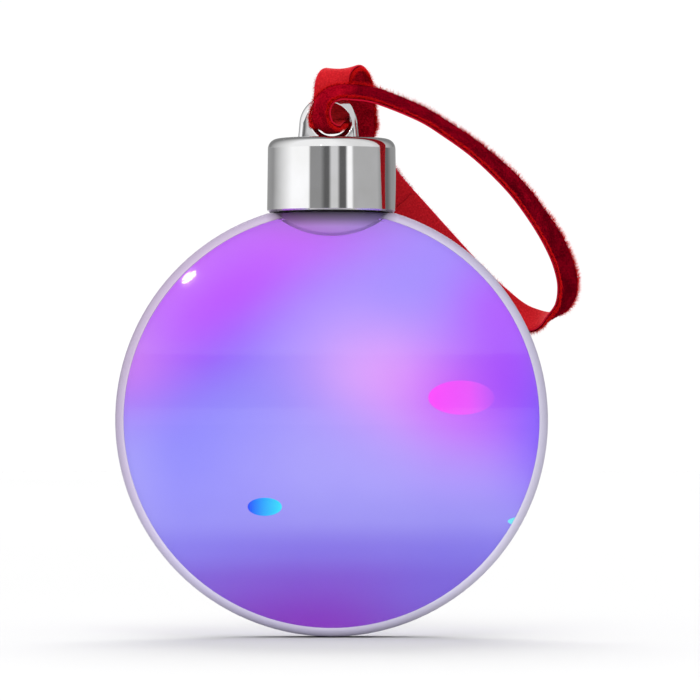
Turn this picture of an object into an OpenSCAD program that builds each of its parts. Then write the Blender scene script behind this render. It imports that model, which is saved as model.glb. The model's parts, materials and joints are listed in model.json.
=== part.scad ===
// Light-up hanging disc bauble: a printed disc with clear domed windows, a chrome-plated cap that
// holds a coin cell, a switch and an LED, and a velvet ribbon through the hanging eye.
// The origin is the centre of the hole in the hanging eye. +Z is up and the front faces -Y.

/* [Disc] */
// Outer radius of the disc
disc_r = 40; // [39.6:0.2:40.4]
// Height of each window's middle above the disc's mid plane
window_h = 9.6; // [9.2:0.2:10]
// Depth of the disc's rim
rim_depth = 12; // [12:0.1:12.4]
// Width of the rim's rounded lip around each window
lip_w = 1.6; // [1.5:0.1:1.8]
// Thickness of each window
lens_t = 1.4; // [1.2:0.1:1.4]

/* [Cap] */
// Outer radius of the cap at its foot
cap_r = 12; // [12:0.1:12.6]
// Height of the cap
cap_h = 13.8; // [13.8:0.1:14.4]
// Wall of the cap
cap_wall = 1.2; // [1.1:0.1:1.2]
// Radius of the rounding around the cap's top
cap_round = 1.9; // [1.5:0.1:2.2]

/* [Hanging eye] */
// Radius of the hole for the ribbon
eye_hole_r = 3.3; // [3:0.1:3.4]
// Outer radius of the arch
eye_r = 5.4; // [5.2:0.1:6]
// Thickness of the arch
eye_t = 3; // [2.4:0.2:3.2]
// Height of the hole's centre above the cap
eye_rise = 3.8; // [3.7:0.1:4.2]

/* [Light] */
// Radius of the LED
led_r = 2.5; // [2.3:0.1:2.5]
// Length of the LED under its flange
led_len = 7.6; // [6:0.2:8]
// How far the switch's slider travels
switch_travel = 1.5; // [1:0.1:1.5]

/* [Ribbon] */
// Width of the ribbon
ribbon_w = 6.2; // [5:0.1:6.2]
// Thickness of the ribbon with its pile
ribbon_t = 1; // [0.8:0.1:1]

/* [Hidden] */
$fn = 96;
SLACK = 0.1;       // clearance between pieces that go together
CUT = 1;           // how far a cutting shape runs past a face

// Disc, in its own frame: height z above the disc's centre, h out from the mid plane
disc_wall = 0.8;
land_z = 38.2;                                     // flat on top of the disc, under the cap
land_t = 1;
rim_h = rim_depth / 2;
window_r = disc_r - lip_w - SLACK;
film_r = disc_r - disc_wall - 0.2;                 // films and the windows' flanges
dome_r = 196;                                      // outer curvature of the windows
dome_c = window_h - dome_r;
flange_lo = 4.35;
flange_hi = 4.85;
print_t = 0.3;
diffuser_t = 0.5;
seam_r = disc_r - 0.58;                            // tongue and groove between the two shells
seam_w = 0.35;
seam_depth = 0.75;
seam_gap = 0.05;
seam_end = 33;                                     // height at which the seam stops, either side of the neck

// Shoulder: a hollow bowl that spreads from the windows to the foot of the cap, round the neck
shoulder_r = 16.1;
shoulder_c = 49.2;
shoulder_wall = 1.2;
shell_overlap = 0.4;                               // how far the rim runs into the shoulder's wall
neck_r = 6.9;
neck_bore = 5.5;
neck_top = 41.8;
ring_r = 0.45;                                     // rubber ring: radius of its section
ring_z = 39.9;
ring_c = 6.75;

// Cap, in the frame of the hanging eye
cap_top = -eye_rise;
cap_foot = cap_top - cap_h;
disc_c = cap_foot - 0.2 - land_z;                  // the disc's centre
cap_in_r = cap_r - cap_wall;
cap_roof_t = 1.4;
cap_draft = 0.15;
eye_peg_x = 4;                                     // pegs that hold the eye in the cap's roof
eye_peg_r = 0.75;
foot_round = 0.5;
bead_z = cap_foot + 1.3;                           // snap bead between the cap and its plug
bead_r = 0.15;

// Stack of the light unit, from the roof of the cap down
plate_t = 0.3;
plate_z = cap_top - cap_roof_t - plate_t;
pip_h = 0.3;
cell_r = 10;
cell_h = 3.2;
cell_z = plate_z - pip_h - cell_h;
minus_t = 0.2;
tray_r = cap_in_r - SLACK;
tray_in_r = cell_r + SLACK;
tray_floor_t = 0.8;
tray_z = cell_z - minus_t - tray_floor_t;
gap_h = 2.2;
board_r = 10.3;
board_t = 1;
board_z = tray_z - gap_h - board_t;
board_top = board_z + board_t;
plug_z = cap_foot + 0.5;
plug_bore = ring_c + ring_r + 0.05;
plug_roof_t = 0.5;
screw_x = 8.9;
screw_r = 0.75;
screw_head_r = 1.4;
screw_head_h = 0.9;
post_r = 1.6;
strap_w = 3;
lead_x = 1.27;
lead_r = 0.25;
flange_r = 2.9;
flange_h = 1;

// Slide switch at the back of the cap
switch_w = 6.7;
switch_h = 1.4;
switch_y0 = 6.6;
switch_y1 = 9.3;
knob_rest = switch_travel / 2;
slot_h = 1.8;
slot_z = board_top + 0.2;

// Route of the ribbon, from the sewn join behind the cap, up and over the small loop, forward
// through the eye and round the long loop to the join again. Each row is x, y and z, the way the
// pile faces, and the share of its full width that the ribbon has there.
ROUTE = [
    [13, 14.2, -14.7, 0, 1, 0, 1],
    [11, 14.2, -12.4, 0, 1, 0, 1],
    [9.2, 14.4, -9.8, 0.4, 1, 0, 1],
    [7.6, 14.4, -7.2, 1, 0.5, 0.2, 1],
    [6.3, 13.6, -4.4, 0.9, -0.5, 0.1, 1],
    [5.5, 12, -1.4, 0.3, -1, -0.2, 1],
    [5.2, 10.4, 1.4, 0.1, -1, -0.4, 1],
    [5, 9, 4.2, 0, -1, -0.3, 1],
    [4.5, 8, 6.8, 0, -1, -0.4, 1],
    [3.2, 6.2, 8.8, 0.1, -0.5, -0.9, 1],
    [1.4, 4.2, 9, 0.2, 0.4, -0.9, 1],
    [0.2, 3.2, 7.2, 0.1, 0.9, -0.4, 1],
    [-0.2, 3, 4.6, 0.1, 1, 0, 1],
    [0, 3.2, 2.2, 0.25, 1, -0.1, 1],
    [0.5, 2.6, 0.2, 0.3, 0.7, -0.7, 0.94],
    [0.2, 0.6, -0.8, 0.1, 0.1, -1, 0.82],
    [-0.1, -1.9, -1, 0, 0, -1, 0.8],
    [-1, -3.9, -1.4, -0.3, -0.2, -0.9, 0.95],
    [-1.8, -4.9, -0.6, -0.8, -0.5, -0.4, 1],
    [-1.9, -5.3, 1.2, -0.88, -0.48, 0.1, 1],
    [-1.3, -5.2, 3.1, -0.6, -0.48, 0.65, 1],
    [0.9, -5.1, 4.5, -0.2, -0.45, 0.9, 1],
    [4.4, -4.8, 4.6, 0.05, -0.45, 0.9, 1],
    [8.6, -4.4, 3.9, 0.22, -0.45, 0.88, 1],
    [16.4, -3.6, 0.8, 0.43, -0.43, 0.8, 1],
    [21.4, -2.8, -2.2, 0.48, -0.43, 0.76, 1],
    [26.1, -1.9, -5.4, 0.53, -0.46, 0.71, 1],
    [30.2, -0.8, -8.8, 0.58, -0.5, 0.64, 1],
    [34.4, 0.6, -12.9, 0.64, -0.54, 0.54, 1],
    [38, 2.2, -17.5, 0.67, -0.57, 0.48, 1],
    [41, 4, -22, 0.69, -0.62, 0.38, 1],
    [43, 6, -26.1, 0.72, -0.64, 0.27, 1],
    [44.1, 8.4, -30.2, 0.75, -0.66, 0.08, 1],
    [43.7, 11, -33.9, 0.75, -0.4, -0.5, 1],
    [41.4, 13.2, -36.5, 0.3, 0.1, -0.95, 1],
    [38.2, 14.4, -37.3, 0, 0.65, -0.75, 1],
    [34.6, 14.6, -36.2, -0.15, 0.85, -0.5, 1],
    [30.6, 14.4, -33.4, -0.1, 0.98, -0.15, 1],
    [25.6, 14.2, -28.6, 0, 1, 0, 1],
    [13.5, 14.2, -15.2, 0, 1, 0, 1]
];
RING_EVERY = 2;                                    // rings of the ribbon between two route points

// ---------------------------------------------------------------- helpers

// Turns a shape drawn with its axis up, so that it points out of the front (1) or the back (-1)
// of the disc, and puts it at the disc's centre
module on_disc(side) {
    translate([0, 0, disc_c]) rotate([90, 0, side > 0 ? 0 : 180]) children();
}

module tube(outer, inner, height) {
    difference() {
        cylinder(r = outer, h = height);
        translate([0, 0, -CUT]) cylinder(r = inner, h = height + 2 * CUT);
    }
}

// A box from its centre in x, its two y limits and its two z limits
module bar(x, width, y0, y1, z0, z1) {
    translate([x - width / 2, y0, z0]) cube([width, y1 - y0, z1 - z0]);
}

// The shoulder's bowl up to a height, in the frame of the disc's centre, with z up
module bowl(grow = 0, top = land_z) {
    difference() {
        translate([0, 0, shoulder_c]) sphere(r = shoulder_r + grow);
        above(top);
    }
}

// Everything above the height limit, for cutting the disc's pieces level at the top
module above(limit) {
    translate([-disc_r, -disc_r, limit]) cube([2 * disc_r, 2 * disc_r, disc_r]);
}

function unit(v) = v / norm(v);

// Catmull-Rom curve through four rows, at t from 0 to 1 between the middle two
function blend(a, b, c, d, t) =
    0.5 * (2 * b + (c - a) * t + (2 * a - 5 * b + 4 * c - d) * t * t
    + (3 * b - 3 * c + d - a) * t * t * t);

// The route's row at place u, counted in points from the start
function route_at(u) =
    let (
        last = len(ROUTE) - 1,
        i = min(floor(u), last - 1),
        b = ROUTE[i],
        c = ROUTE[i + 1],
        a = i == 0 ? 2 * b - c : ROUTE[i - 1],
        d = i == last - 1 ? 2 * c - b : ROUTE[i + 2]
    )
    blend(a, b, c, d, u - i);

function point_at(u) = let (row = route_at(u)) [row[0], row[1], row[2]];

function heading_at(u) =
    let (step = 0.02, last = len(ROUTE) - 1)
    unit(point_at(min(u + step, last)) - point_at(max(u - step, 0)));

// One ring of the ribbon: a flat eight-sided section square to the route
function ring_at(u) =
    let (
        row = route_at(u),
        middle = [row[0], row[1], row[2]],
        along = heading_at(u),
        pile = [row[3], row[4], row[5]],
        face = unit(pile - (pile * along) * along),
        across = cross(face, along),
        half_w = ribbon_w * row[6] / 2,
        half_t = ribbon_t / 2,
        section = [
            [1, 0.4], [0.9, 1], [-0.9, 1], [-1, 0.4], [-1, -0.4], [-0.9, -1], [0.9, -1], [1, -0.4]
        ]
    )
    [for (s = section) middle + across * half_w * s[0] + face * half_t * s[1]];

// ---------------------------------------------------------------- disc

// Rim of one half: wall, rounded lip and seat for the window, axis up, mid plane at 0
module rim_band() {
    rotate_extrude()
        difference() {
            union() {
                square([disc_r, rim_h - lip_w]);
                translate([disc_r - lip_w, rim_h - lip_w]) circle(r = lip_w);
                square([disc_r - lip_w, rim_h]);
            }
            translate([-CUT, -CUT]) square([window_r + SLACK + CUT, rim_h + 2 * CUT]);
            translate([-CUT, -lip_w - CUT])
                square([disc_r - disc_wall + CUT, flange_hi + 0.05 + lip_w + CUT]);
        }
}

// Neck and shoulder of the whole disc, z up from the disc's centre
module neck_and_shoulder() {
    difference() {
        union() {
            bowl();
            translate([0, 0, land_z - land_t]) cylinder(r = neck_r, h = neck_top - land_z + land_t);
        }
        translate([0, 0, -CUT]) cylinder(r = neck_bore, h = neck_top + 2 * CUT);
        bowl(-shoulder_wall, land_z - land_t);
        translate([0, 0, ring_z]) rotate_extrude() translate([ring_c, 0]) circle(r = ring_r + 0.02);
    }
}

// One half of the disc's shell, side 1 at the front and -1 at the back
module half_shell(side) {
    difference() {
        union() {
            on_disc(side) rim_band();
            on_disc(side) land_plate();
        }
        translate([0, 0, disc_c]) above(land_z);
        translate([0, 0, disc_c]) bowl(-shell_overlap, land_z + CUT);
    }
    difference() {
        translate([0, 0, disc_c]) neck_and_shoulder();
        half_space(-side);
    }
}

// Ring for the seam: the tongue, or the groove when it's grown
module seam_ring(grow = 0) {
    difference() {
        tube(seam_r + seam_w / 2 + grow, seam_r - seam_w / 2 - grow, seam_depth + grow);
        translate([-disc_r, seam_end, -CUT]) cube([2 * disc_r, disc_r, seam_depth + 2 * CUT]);
    }
}

// Half of space, for cutting: 1 the front and -1 the back
module half_space(side) {
    big = 2 * disc_r;
    translate([-big, side > 0 ? -big : 0, disc_c - big]) cube([2 * big, big, 3 * big]);
}

// Flat plate that closes the rim under the cap
module land_plate() {
    intersection() {
        cylinder(r = disc_r - 0.4, h = flange_hi);
        translate([-disc_r, land_z - land_t, 0]) cube([2 * disc_r, land_t, flange_hi]);
    }
}

module front_shell() {
    color("#c9bfd6")
        difference() {
            half_shell(1);
            on_disc(1) seam_ring(seam_gap);
        }
}

module rear_shell() {
    color("#c9bfd6") {
        half_shell(-1);
        on_disc(1) seam_ring();
    }
}

module dome(radius) {
    translate([0, 0, dome_c]) sphere(r = radius, $fn = 180);
}

// A domed sheet between two radii of curvature, cut out round the shoulder
module domed_sheet(side, outer, inner, edge) {
    difference() {
        on_disc(side)
            difference() {
                intersection() {
                    dome(outer);
                    cylinder(r = edge, h = rim_h + window_h);
                }
                dome(inner);
            }
        translate([0, 0, disc_c]) bowl(0.15);
        translate([0, 0, disc_c]) above(land_z - land_t - 0.1);
    }
}

module lens(side) {
    domed_sheet(side, dome_r, dome_r - lens_t, window_r);
    difference() {
        on_disc(side)
            translate([0, 0, flange_lo]) tube(film_r, window_r - 0.3, flange_hi - flange_lo);
        translate([0, 0, disc_c]) bowl(0.15);
        translate([0, 0, disc_c]) above(land_z - land_t - 0.1);
    }
}

module print_film(side) {
    outer = dome_r - lens_t - 0.1;
    domed_sheet(side, outer, outer - print_t, film_r - 0.1);
}

module diffuser(side) {
    outer = dome_r - lens_t - 0.1 - print_t - 0.1;
    domed_sheet(side, outer, outer - diffuser_t, film_r - 0.1);
}

module front_lens() {
    color("#e8e4f4", 0.4) lens(1);
}

module rear_lens() {
    color("#e8e4f4", 0.4) lens(-1);
}

module front_print() {
    color("#9c88fa") print_film(1);
}

module rear_print() {
    color("#9c88fa") print_film(-1);
}

module front_diffuser() {
    color("white") diffuser(1);
}

module rear_diffuser() {
    color("white") diffuser(-1);
}

module reflector_ring() {
    height = 6;
    color("white")
        difference() {
            on_disc(1) translate([0, 0, -height / 2]) tube(film_r, film_r - 1, height);
            bar(0, 26, -disc_r, disc_r, disc_c + land_z - 6, disc_c + disc_r + CUT);
        }
}

module neck_ring() {
    color("#303030")
        translate([0, 0, disc_c + ring_z])
            rotate_extrude() translate([ring_c, 0]) circle(r = ring_r, $fn = 32);
}

// ---------------------------------------------------------------- cap

module cap_shell() {
    top_r = cap_r - cap_draft;
    color("#d8d8da")
        difference() {
            rotate_extrude()
                union() {
                    polygon([
                        [0, cap_foot],
                        [cap_r - foot_round, cap_foot],
                        [cap_r, cap_foot + foot_round],
                        [top_r, cap_top - cap_round],
                        [0, cap_top - cap_round]
                    ]);
                    translate([0, cap_top - cap_round]) square([top_r - cap_round, cap_round]);
                    intersection() {
                        translate([top_r - cap_round, cap_top - cap_round]) circle(r = cap_round);
                        translate([top_r - cap_round, cap_top - cap_round])
                            square(cap_round + CUT);
                    }
                }
            translate([0, 0, cap_foot - CUT])
                cylinder(r = cap_in_r, h = cap_h - cap_roof_t + CUT);
            translate([0, 0, bead_z])
                rotate_extrude() translate([cap_in_r, 0]) circle(r = bead_r + 0.05, $fn = 24);
            bar(0, 2.4 + switch_travel + 2 * SLACK, cap_in_r - 2, cap_r + CUT, slot_z, slot_z + slot_h);
            for (x = [-eye_peg_x, eye_peg_x])
                translate([x, 0, cap_top - cap_roof_t - CUT])
                    cylinder(r = eye_peg_r + 0.05, h = 2 * CUT + 0.4);
        }
}

module hanging_eye() {
    arch_x = -0.6;                                     // centre of the arch's outer circle
    arch_z = -1.25;
    foot_w = 5.65;
    color("#d8d8da") {
        difference() {
            rotate([90, 0, 0])
                translate([0, 0, -eye_t / 2])
                    linear_extrude(eye_t)
                        union() {
                            translate([arch_x, arch_z]) circle(r = eye_r);
                            polygon([
                                [arch_x - foot_w, cap_top],
                                [arch_x + foot_w, cap_top],
                                [arch_x + eye_r, arch_z],
                                [arch_x - eye_r, arch_z]
                            ]);
                        }
            rotate([90, 0, 0])
                translate([0, 0, -eye_t]) cylinder(r = eye_hole_r, h = 2 * eye_t);
            bar(0, 2 * cap_r, -eye_t, eye_t, cap_top - cap_h, cap_top);
        }
        for (x = [-eye_peg_x, eye_peg_x])
            translate([x, 0, cap_top - 0.9]) cylinder(r = eye_peg_r, h = 1);
    }
}

module battery_tray() {
    color("#f2f2ee")
        difference() {
            union() {
                translate([0, 0, tray_z]) tube(tray_r, tray_in_r, plate_z - tray_z - 0.1);
                translate([0, 0, tray_z]) cylinder(r = tray_in_r + 0.2, h = tray_floor_t);
                for (x = [-screw_x, screw_x])
                    translate([x, 0, board_top]) cylinder(r = post_r, h = gap_h + 0.2);
            }
            for (x = [-screw_x, screw_x])
                translate([x, 0, board_top - CUT])
                    cylinder(r = screw_r + 0.05, h = gap_h - 0.2 + CUT);
            bar(0, strap_w + 0.4, -cap_r, -tray_in_r, tray_z - CUT, cap_top);
            bar(0, 2.4, 3.9, 4.5, tray_z - CUT, cell_z);
        }
}

module coin_cell() {
    rim = 0.5;
    color("#c8cace")
        translate([0, 0, cell_z])
            rotate_extrude()
                polygon([
                    [0, 0],
                    [cell_r - 1.2, 0],
                    [cell_r - 1.2 + rim, rim],
                    [cell_r, rim],
                    [cell_r, cell_h - 0.2],
                    [cell_r - 0.2, cell_h],
                    [0, cell_h]
                ]);
}

module positive_contact() {
    strap_y = -tray_in_r - 0.15;
    color("#d9cfae") {
        translate([0, 0, plate_z]) cylinder(r = 5, h = plate_t);
        for (turn = [90, 210, 330])
            rotate([0, 0, turn])
                translate([3.4, 0, plate_z - pip_h]) cylinder(r = 0.8, h = pip_h);
        bar(0, strap_w, strap_y - plate_t, 0, plate_z, plate_z + plate_t);
        bar(0, strap_w, strap_y - plate_t, strap_y, board_top, plate_z + plate_t);
        bar(0, strap_w, strap_y - plate_t, -9, board_top, board_top + minus_t);
    }
}

module negative_contact() {
    color("#d9cfae") {
        translate([0, 0, cell_z - minus_t]) cylinder(r = 5, h = minus_t);
        bar(0, 2, 4.05, 4.35, board_top, cell_z - minus_t);
    }
}

module circuit_board() {
    color("#1f6b3a")
        translate([0, 0, board_z])
            difference() {
                cylinder(r = board_r, h = board_t);
                for (x = [-lead_x, lead_x])
                    translate([x, 0, -CUT]) cylinder(r = 0.45, h = board_t + 2 * CUT);
                for (x = [-screw_x, screw_x])
                    translate([x, 0, -CUT]) cylinder(r = 0.85, h = board_t + 2 * CUT);
            }
}

module led_bulb() {
    tip_z = board_z - flange_h - led_len;
    color("#e6ecff", 0.8) {
        translate([0, 0, board_z - flange_h]) cylinder(r = flange_r, h = flange_h);
        translate([0, 0, tip_z + led_r]) cylinder(r = led_r, h = led_len - led_r);
        translate([0, 0, tip_z + led_r]) sphere(r = led_r);
    }
}

module led_leads() {
    color("silver")
        for (x = [-lead_x, lead_x])
            translate([x, 0, board_z]) cylinder(r = lead_r, h = board_t + 0.8, $fn = 24);
}

module resistor() {
    color("#26262a") bar(0, 2.2, -5.8, -4.2, board_top, board_top + 0.6);
    color("silver")
        for (x = [-1.35, 1.35])
            bar(x, 0.5, -5.8, -4.2, board_top, board_top + 0.6);
}

module switch_body() {
    color("#8f9296")
        difference() {
            bar(0, switch_w, switch_y0, switch_y1, board_top, board_top + switch_h);
            bar(
                0, 1.2 + switch_travel + 2 * SLACK, switch_y1 - 1.3, switch_y1 + CUT,
                board_top + 0.3, board_top + 1.1
            );
        }
}

module switch_pins() {
    color("silver")
        for (x = [-2.25, 0.75, 2.25])
            bar(x, 0.6, switch_y0 - 0.9, switch_y0, board_top, board_top + 0.15);
}

module switch_knob() {
    rib_w = 0.35;
    face_y = 12.7;
    color("#2b2b30") {
        bar(knob_rest, 1.2, switch_y1 - 1.1, switch_y1 + 0.15, board_top + 0.4, board_top + 1);
        bar(knob_rest, 3.8, switch_y1 + 0.1, switch_y1 + 0.6, board_top + 0.1, board_top + 2.1);
        bar(knob_rest, 2.4, switch_y1 + 0.5, face_y, slot_z + 0.1, slot_z + slot_h - 0.1);
        bar(knob_rest, 3, cap_r + 0.15, face_y, slot_z - 0.2, slot_z + slot_h + 0.2);
        for (i = [-1 : 1])
            bar(knob_rest + i * 0.9, rib_w, face_y - 0.1, face_y + 0.3, slot_z, slot_z + slot_h);
    }
}

module base_cover() {
    roof_z = board_z - plug_roof_t;
    color("#e9e9e6")
        difference() {
            union() {
                translate([0, 0, plug_z]) cylinder(r = tray_r, h = board_z - plug_z);
                translate([0, 0, bead_z])
                    rotate_extrude() translate([cap_in_r - SLACK, 0]) circle(r = bead_r, $fn = 24);
            }
            translate([0, 0, plug_z - CUT])
                cylinder(r = plug_bore, h = roof_z - plug_z + CUT);
            translate([0, 0, plug_z]) cylinder(r = flange_r + SLACK, h = cap_h);
            for (x = [-screw_x, screw_x])
                translate([x, 0, plug_z - CUT]) {
                    cylinder(r = screw_r + 0.05, h = cap_h);
                    cylinder(r = screw_head_r + 0.05, h = screw_head_h + CUT);
                }
        }
}

module cover_screws() {
    length = 5.4;
    color("#b9bcc2")
        for (x = [-screw_x, screw_x])
            translate([x, 0, plug_z]) {
                difference() {
                    cylinder(r = screw_head_r, h = screw_head_h);
                    for (turn = [0, 90])
                        rotate([0, 0, turn])
                            translate([-0.9, -0.15, -CUT]) cube([1.8, 0.3, CUT + 0.4]);
                }
                translate([0, 0, screw_head_h]) cylinder(r = screw_r, h = length);
            }
}

// ---------------------------------------------------------------- ribbon

module ribbon() {
    sides = 8;
    rings = (len(ROUTE) - 1) * RING_EVERY + 1;
    points = [for (i = [0 : rings - 1]) each ring_at(i / RING_EVERY)];
    walls = [
        for (i = [0 : rings - 2], k = [0 : sides - 1])
            let (near = i * sides, far = near + sides, next = (k + 1) % sides)
            each [[near + k, far + k, far + next], [near + k, far + next, near + next]]
    ];
    first = [[for (k = [0 : sides - 1]) k]];
    last = [[for (k = [sides - 1 : -1 : 0]) (rings - 1) * sides + k]];
    color("#8a0a18") polyhedron(points = points, faces = concat(walls, first, last));
}

// Tab sewn behind the ribbon's two ends
module ribbon_join() {
    length = 5;
    thickness = 0.8;
    stand_off = ribbon_t / 2 + 0.05;
    middle = (point_at(0) + point_at(len(ROUTE) - 1)) / 2;
    heading = heading_at(0);
    color("#a80f20")
        translate(middle)
            rotate([0, atan2(heading[0], heading[2]), 0])
                translate([-ribbon_w / 2, stand_off, -length / 2])
                    cube([ribbon_w, thickness, length]);
}

front_shell();
rear_shell();
front_lens();
rear_lens();
front_print();
rear_print();
front_diffuser();
rear_diffuser();
reflector_ring();
neck_ring();
cap_shell();
hanging_eye();
battery_tray();
coin_cell();
positive_contact();
negative_contact();
circuit_board();
led_bulb();
led_leads();
resistor();
switch_body();
switch_pins();
switch_knob();
base_cover();
cover_screws();
ribbon();
ribbon_join();
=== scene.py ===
import json
import math
import random

import bmesh
import bpy
from mathutils import Matrix, Vector

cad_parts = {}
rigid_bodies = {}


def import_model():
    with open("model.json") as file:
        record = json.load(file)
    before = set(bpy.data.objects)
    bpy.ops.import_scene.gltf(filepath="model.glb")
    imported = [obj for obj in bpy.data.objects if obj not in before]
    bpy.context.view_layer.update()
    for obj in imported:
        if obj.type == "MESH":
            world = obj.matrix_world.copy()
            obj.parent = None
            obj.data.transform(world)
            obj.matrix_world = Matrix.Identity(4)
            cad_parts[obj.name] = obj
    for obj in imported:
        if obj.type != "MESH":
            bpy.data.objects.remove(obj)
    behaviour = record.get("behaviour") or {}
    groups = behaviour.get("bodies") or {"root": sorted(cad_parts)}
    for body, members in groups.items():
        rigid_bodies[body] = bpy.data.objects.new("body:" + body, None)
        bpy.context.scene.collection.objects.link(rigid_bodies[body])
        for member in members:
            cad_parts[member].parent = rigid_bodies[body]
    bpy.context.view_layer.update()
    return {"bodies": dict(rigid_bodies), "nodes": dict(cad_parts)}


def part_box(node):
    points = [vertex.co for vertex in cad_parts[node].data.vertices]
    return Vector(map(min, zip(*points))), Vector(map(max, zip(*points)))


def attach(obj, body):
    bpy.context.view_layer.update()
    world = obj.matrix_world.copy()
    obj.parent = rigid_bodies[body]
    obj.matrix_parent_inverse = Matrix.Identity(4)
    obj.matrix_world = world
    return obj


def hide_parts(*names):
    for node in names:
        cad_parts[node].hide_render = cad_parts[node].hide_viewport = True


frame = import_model()

MM = 0.001

# Driving dimensions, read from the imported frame
disc_lo, disc_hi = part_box("front_shell")
DISC_R = disc_hi.x
DISC_Z = disc_lo.z + DISC_R
LAND_Z = 38.2 * MM        # flat on top of the disc, above its middle
BOWL_R = 16.1 * MM        # shoulder's bowl, and its middle above the disc's
BOWL_Z = 49.2 * MM
cap_lo, cap_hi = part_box("cap_shell")
CAP_FOOT = cap_lo.z
CAP_TOP = cap_hi.z
lens_lo, lens_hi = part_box("front_lens")
FLANGE_R = lens_hi.x
WINDOW_R = FLANGE_R - 0.7 * MM
FLANGE_LO = 4.35 * MM     # flange of a window, in height over the mid plane
FLANGE_HI = 4.85 * MM
LENS_FRONT = lens_lo.y
LENS_T = 1.4 * MM
FILM_T = 0.3 * MM
DOME_R = 196 * MM         # outer curvature of the windows
eye_lo, eye_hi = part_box("hanging_eye")
EYE_T = eye_hi.y - eye_lo.y
FLOOR_Z = disc_lo.z - 0.2 * MM


# ------------------------------------------------------------------ colour and material helpers

def tint(red, green, blue):
    """A colour given on the 0 to 255 display scale, as the linear colour that shaders take."""
    out = []
    for value in (red, green, blue):
        share = value / 255
        out.append(share / 12.92 if share <= 0.04045 else ((share + 0.055) / 1.055) ** 2.4)
    return (*out, 1.0)


def grey(value):
    return tint(value, value, value)


class Graph:
    """A material's node tree around one Principled shader."""

    def __init__(self, name):
        self.material = bpy.data.materials.new(name)
        self.material.use_nodes = True
        self.tree = self.material.node_tree
        self.tree.nodes.clear()
        self.out = self.node("ShaderNodeOutputMaterial")
        self.shader = self.node("ShaderNodeBsdfPrincipled")
        self.link(self.shader.outputs["BSDF"], self.out.inputs["Surface"])

    def node(self, kind, **settings):
        made = self.tree.nodes.new(kind)
        for key, value in settings.items():
            setattr(made, key, value)
        return made

    def link(self, source, target):
        self.tree.links.new(source, target)

    def put(self, **values):
        """Sets sockets of the shader, with _ for a space in their names."""
        for key, value in values.items():
            self.shader.inputs[key.replace("_", " ")].default_value = value

    def place(self):
        return self.node("ShaderNodeTexCoord").outputs["Object"]

    def mapped(self, source, location=(0, 0, 0), rotation=(0, 0, 0), scale=(1, 1, 1), kind="POINT"):
        made = self.node("ShaderNodeMapping", vector_type=kind)
        made.inputs["Location"].default_value = location
        made.inputs["Rotation"].default_value = rotation
        made.inputs["Scale"].default_value = scale
        self.link(source, made.inputs["Vector"])
        return made.outputs["Vector"]

    def noise(self, source, scale, detail=3.0, roughness=0.5):
        made = self.node("ShaderNodeTexNoise")
        made.inputs["Scale"].default_value = scale
        made.inputs["Detail"].default_value = detail
        made.inputs["Roughness"].default_value = roughness
        self.link(source, made.inputs["Vector"])
        return made.outputs["Fac"]

    def ramp(self, source, stops, interpolation="LINEAR"):
        made = self.node("ShaderNodeValToRGB")
        made.color_ramp.interpolation = interpolation
        elements = made.color_ramp.elements
        while len(elements) < len(stops):
            elements.new(0.5)
        for element, (position, colour) in zip(elements, stops):
            element.position = position
            element.color = colour
        self.link(source, made.inputs["Fac"])
        return made.outputs["Color"]

    def math(self, operation, first, second=None):
        made = self.node("ShaderNodeMath", operation=operation)
        for socket, value in zip(made.inputs, (first, second)):
            if value is None:
                continue
            if isinstance(value, (int, float)):
                socket.default_value = value
            else:
                self.link(value, socket)
        return made.outputs["Value"]

    def spread(self, source, lo, hi, to_lo=0.0, to_hi=1.0, kind="LINEAR"):
        made = self.node("ShaderNodeMapRange", interpolation_type=kind)
        for key, value in (
            ("From Min", lo), ("From Max", hi), ("To Min", to_lo), ("To Max", to_hi)
        ):
            made.inputs[key].default_value = value
        self.link(source, made.inputs["Value"])
        return made.outputs["Result"]

    def mix(self, factor, under, over):
        made = self.node("ShaderNodeMix", data_type="RGBA")
        for socket, value in (
            (made.inputs[0], factor), (made.inputs[6], under), (made.inputs[7], over)
        ):
            if isinstance(value, (tuple, int, float)):
                socket.default_value = value
            else:
                self.link(value, socket)
        return made.outputs[2]

    def multiply(self, factor, first, second):
        made = self.node("ShaderNodeMix", data_type="RGBA", blend_type="MULTIPLY")
        made.inputs[0].default_value = factor
        self.link(first, made.inputs[6])
        self.link(second, made.inputs[7])
        return made.outputs[2]

    def bump(self, height, distance, strength=1.0):
        made = self.node("ShaderNodeBump")
        made.inputs["Distance"].default_value = distance
        made.inputs["Strength"].default_value = strength
        self.link(height, made.inputs["Height"])
        self.link(made.outputs["Normal"], self.shader.inputs["Normal"])

    def split(self, source):
        made = self.node("ShaderNodeSeparateXYZ")
        self.link(source, made.inputs["Vector"])
        return made.outputs

    def colour(self, source):
        self.link(source, self.shader.inputs["Base Color"])


def mottled(name, dark, light, scale, rough, bump_depth, stretch=(1, 1, 1), **values):
    """A material whose colour, gloss and relief vary with noise of the given scale."""
    graph = Graph(name)
    place = graph.mapped(graph.place(), scale=stretch)
    field = graph.noise(place, scale)
    graph.colour(graph.ramp(field, [(0.3, dark), (0.7, light)]))
    graph.link(graph.spread(field, 0.3, 0.7, *rough), graph.shader.inputs["Roughness"])
    graph.bump(field, bump_depth)
    graph.put(**values)
    return graph.material


# ------------------------------------------------------------------ camera

VIEW_DISTANCE = 1.08
VIEW_WIDTH = 0.1299
EYE_LEVEL = -0.06
AIM = Vector((0.0034, 0, -0.043))

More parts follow.
